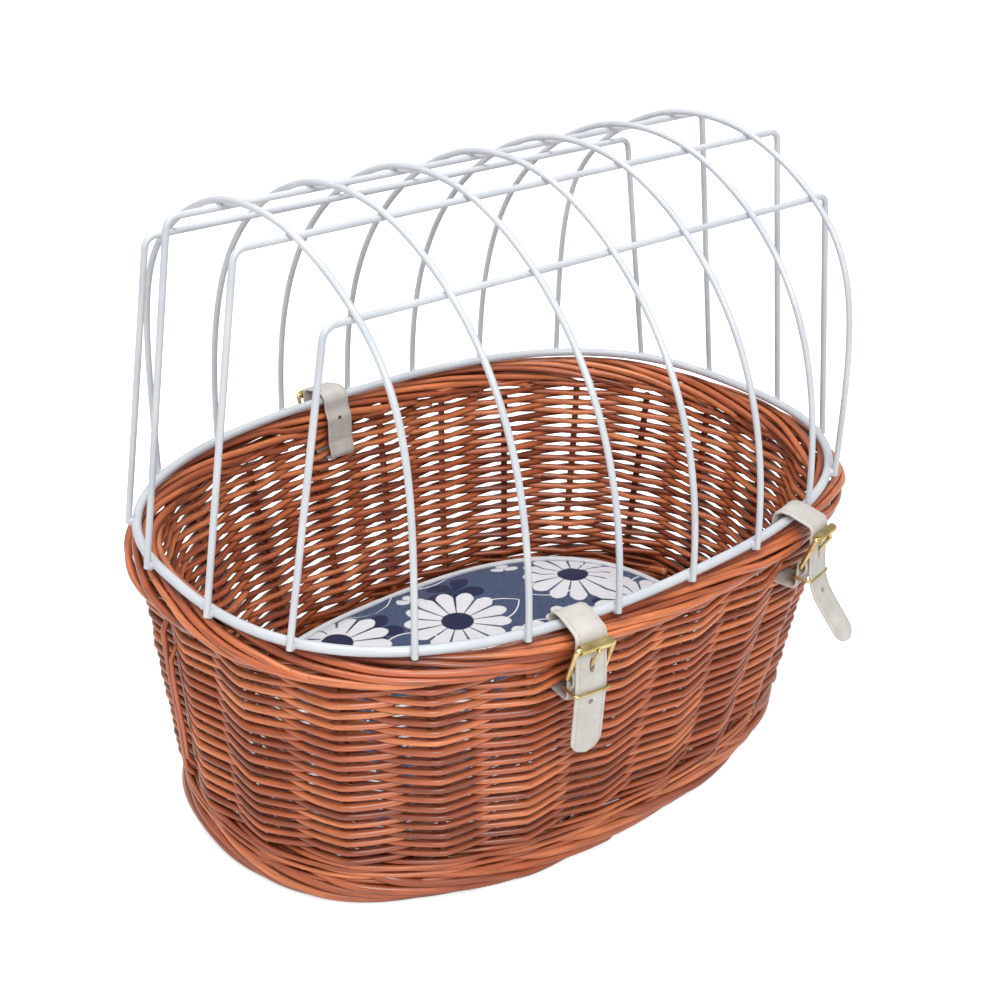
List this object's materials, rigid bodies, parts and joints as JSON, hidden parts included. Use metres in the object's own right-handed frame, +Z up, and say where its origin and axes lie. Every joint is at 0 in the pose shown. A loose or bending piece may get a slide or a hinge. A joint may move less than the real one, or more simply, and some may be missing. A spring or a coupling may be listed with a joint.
{
  "type": "wicker pet bed basket",
  "caption": "Oval willow pet bed basket with a hinged white wire cover, buckled leather straps with brass buckles, and a printed cushion.",
  "frame": {"origin": "on the floor, at the centre of the basket's foot", "axes": "+Z up, +X along the basket's length, the two-buckle front side faces -Y"},
  "size_m": [0.5021, 0.3979, 0.4157],
  "materials": {
    "willow_rod": "satin varnished willow rod",
    "willow_weave": "satin varnished willow weave",
    "white_wire": "gloss white powder coat",
    "leather": "smooth cream-white leather, stitched edges",
    "brass": "polished brass plate",
    "printed_denim": "blue woven cotton printed with white daisies",
    "piping": "pale grey cotton piping",
    "foam": "cushion filling"
  },
  "bodies": {
    "basket": {"base_long_sticks": "willow_rod", "base_cross_sticks": "willow_rod", "base_weave": "willow_weave", "foot_border": "willow_rod", "bottom_wale": "willow_weave", "side_stakes": "willow_rod", "side_weave": "willow_weave", "top_border": "willow_rod", "front_left_strap_heel": "leather", "front_left_buckle_frame": "brass", "front_right_strap_heel": "leather", "front_right_buckle_frame": "brass", "rear_strap_heel": "leather", "rear_buckle_frame": "brass"},
    "cover": {"cover_ring": "white_wire", "cover_hoop_1": "white_wire", "cover_hoop_2": "white_wire", "cover_hoop_3": "white_wire", "cover_hoop_4": "white_wire", "cover_hoop_5": "white_wire", "cover_hoop_6": "white_wire", "cover_hoop_7": "white_wire", "cover_rail_front": "white_wire", "cover_rail_front_top": "white_wire", "cover_rail_rear_top": "white_wire", "cover_rail_rear": "white_wire"},
    "cushion": {"cushion_cover": "printed_denim", "cushion_foam": "foam", "cushion_piping": "piping"},
    "front_left_strap": {"front_left_strap_tail": "leather"},
    "front_left_roller": {"front_left_buckle_roller": "brass"},
    "front_left_prong": {"front_left_buckle_prong": "brass"},
    "front_left_keeper_loop": {"front_left_keeper": "brass"},
    "front_right_strap": {"front_right_strap_tail": "leather"},
    "front_right_roller": {"front_right_buckle_roller": "brass"},
    "front_right_prong": {"front_right_buckle_prong": "brass"},
    "front_right_keeper_loop": {"front_right_keeper": "brass"},
    "rear_strap": {"rear_strap_tail": "leather"},
    "rear_roller": {"rear_buckle_roller": "brass"},
    "rear_prong": {"rear_buckle_prong": "brass"},
    "rear_keeper_loop": {"rear_keeper": "brass"}
  },
  "joints": [
    {"name": "cover_swing", "type": "hinge", "parent": "basket", "child": "cover", "pos_m": [0, 0.173, 0.2015], "axis": [-1, 0, 0], "range_deg": [0, 95]},
    {"name": "cushion_lift", "type": "slide", "parent": "basket", "child": "cushion", "axis": [0, 0, 1], "range_m": [0, 0.1]},
    {"name": "front_left_strap_open", "type": "hinge", "parent": "basket", "child": "front_left_strap", "pos_m": [-0.088, -0.16672, 0.2], "axis": [-0.9879, 0.1554, 0], "range_deg": [0, 105], "deforming": ["front_left_strap_tail"]},
    {"name": "front_left_roller_turn", "type": "hinge", "parent": "basket", "child": "front_left_roller", "pos_m": [-0.09182, -0.19103, 0.197], "axis": [0.9879, -0.1554, 0], "continuous": true},
    {"name": "front_left_prong_swing", "type": "hinge", "parent": "basket", "child": "front_left_prong", "pos_m": [-0.09058, -0.18312, 0.174], "axis": [0.9879, -0.1554, 0], "range_deg": [0, 67]},
    {"name": "front_left_keeper_slide", "type": "slide", "parent": "basket", "child": "front_left_keeper_loop", "axis": [0, 0, 1], "range_m": [-0.003, 0.003]},
    {"name": "front_right_strap_open", "type": "hinge", "parent": "basket", "child": "front_right_strap", "pos_m": [0.105, -0.16359, 0.2], "axis": [-0.978, -0.2087, 0], "range_deg": [0, 105], "deforming": ["front_right_strap_tail"]},
    {"name": "front_right_roller_turn", "type": "hinge", "parent": "basket", "child": "front_right_roller", "pos_m": [0.11013, -0.18765, 0.197], "axis": [0.978, 0.2087, 0], "continuous": true},
    {"name": "front_right_prong_swing", "type": "hinge", "parent": "basket", "child": "front_right_prong", "pos_m": [0.10847, -0.17982, 0.174], "axis": [0.978, 0.2087, 0], "range_deg": [0, 67]},
    {"name": "front_right_keeper_slide", "type": "slide", "parent": "basket", "child": "front_right_keeper_loop", "axis": [0, 0, 1], "range_m": [-0.003, 0.003]},
    {"name": "rear_strap_open", "type": "hinge", "parent": "basket", "child": "rear_strap", "pos_m": [-0.019, 0.1719, 0.2], "axis": [0.9999, 0.0137, 0], "range_deg": [0, 105], "deforming": ["rear_strap_tail"]},
    {"name": "rear_roller_turn", "type": "hinge", "parent": "basket", "child": "rear_roller", "pos_m": [-0.01934, 0.1965, 0.197], "axis": [-0.9999, -0.0137, 0], "continuous": true},
    {"name": "rear_prong_swing", "type": "hinge", "parent": "basket", "child": "rear_prong", "pos_m": [-0.01923, 0.1885, 0.174], "axis": [-0.9999, -0.0137, 0], "range_deg": [0, 63]},
    {"name": "rear_keeper_slide", "type": "slide", "parent": "basket", "child": "rear_keeper_loop", "axis": [0, 0, 1], "range_m": [-0.003, 0.003]}
  ],
  "couplings": [
    {"joint": "front_left_strap_open", "follows": "cover_swing", "ratio": 1.1},
    {"joint": "front_left_prong_swing", "follows": "cover_swing", "ratio": 0.7},
    {"joint": "front_right_strap_open", "follows": "cover_swing", "ratio": 1.1},
    {"joint": "front_right_prong_swing", "follows": "cover_swing", "ratio": 0.7},
    {"joint": "rear_prong_swing", "follows": "rear_strap_open", "ratio": 0.6}
  ]
}
